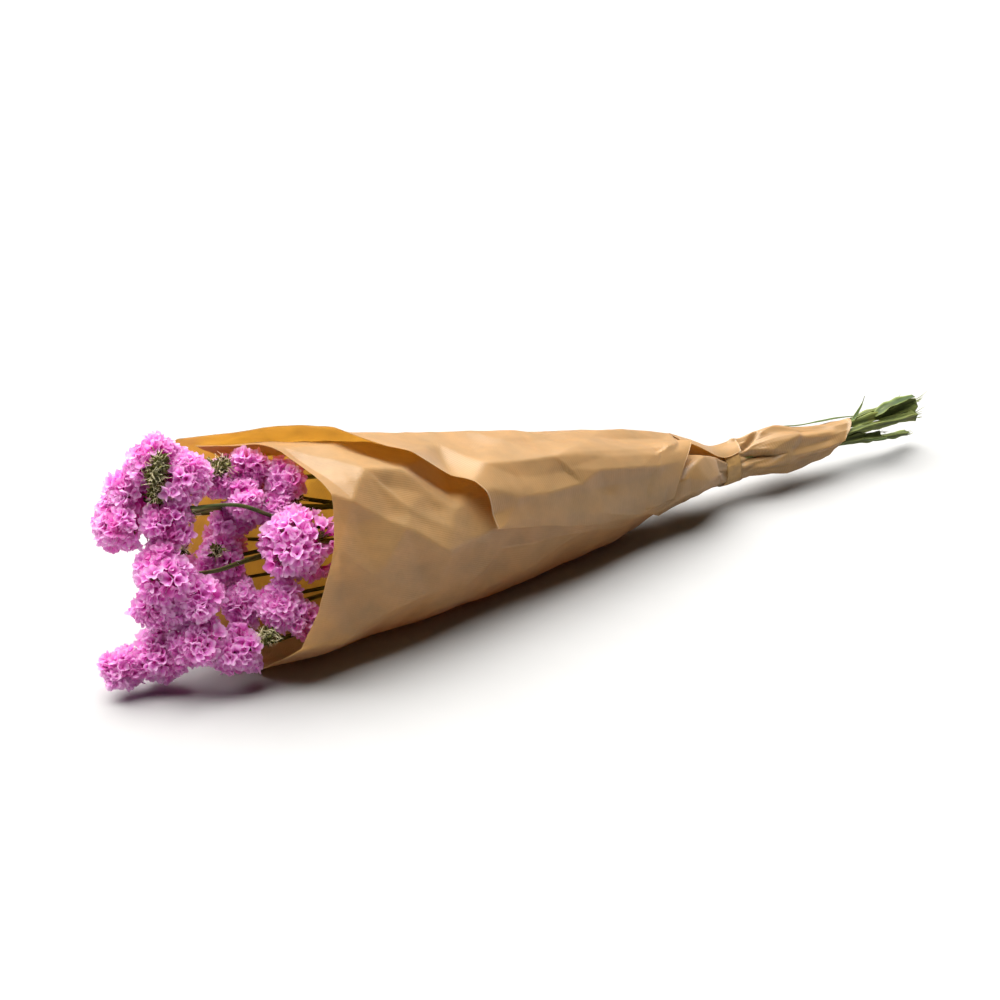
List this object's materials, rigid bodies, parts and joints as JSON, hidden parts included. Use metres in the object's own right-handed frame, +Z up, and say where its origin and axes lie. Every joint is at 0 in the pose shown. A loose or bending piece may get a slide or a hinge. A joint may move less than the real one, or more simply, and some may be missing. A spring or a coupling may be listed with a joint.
{
  "type": "dried statice bunch in a paper wrap",
  "caption": "Bunch of dried statice: dense heads of papery pink calyces on winged branched stems, in a ribbed kraft-paper cone gathered and tied at the neck, lying on its side.",
  "frame": {"origin": "the middle of the flat spot on the belly of the paper wrap, on the surface that the bunch lies on", "axes": "+X runs along the bunch from the flowers to the cut ends of the stems, +Z is up, and the sheet's free side faces -Y"},
  "size_m": [0.6585, 0.1362, 0.1454],
  "materials": {
    "kraft_paper": "matt, finely ribbed kraft paper",
    "tie": "matt tan band",
    "stem": "matt dried green stem",
    "leaf": "matt dried green leaf",
    "calyx": "papery pink, light passes through a little"
  },
  "bodies": {
    "root": {"paper_wrap": "kraft_paper", "tie_band": "tie", "stem_top": "stem", "stem_front_up": "stem", "stem_front_down": "stem", "stem_down": "stem", "stem_back_down": "stem", "stem_back_up": "stem", "stem_centre": "stem", "leaf_tip": "leaf", "leaf_long": "leaf", "leaf_upper": "leaf", "leaf_lower": "leaf", "head_top_left": "calyx", "head_left": "calyx", "head_low_left": "calyx", "head_low_front": "calyx", "head_middle": "calyx", "head_top": "calyx", "head_top_right": "calyx", "head_centre": "calyx", "head_low_middle": "calyx", "head_low_right": "calyx", "head_right": "calyx", "head_back_low": "calyx", "head_back_under": "calyx", "head_back_middle": "calyx", "head_back_outer": "calyx", "head_back_top": "calyx"}
  },
  "joints": []
}
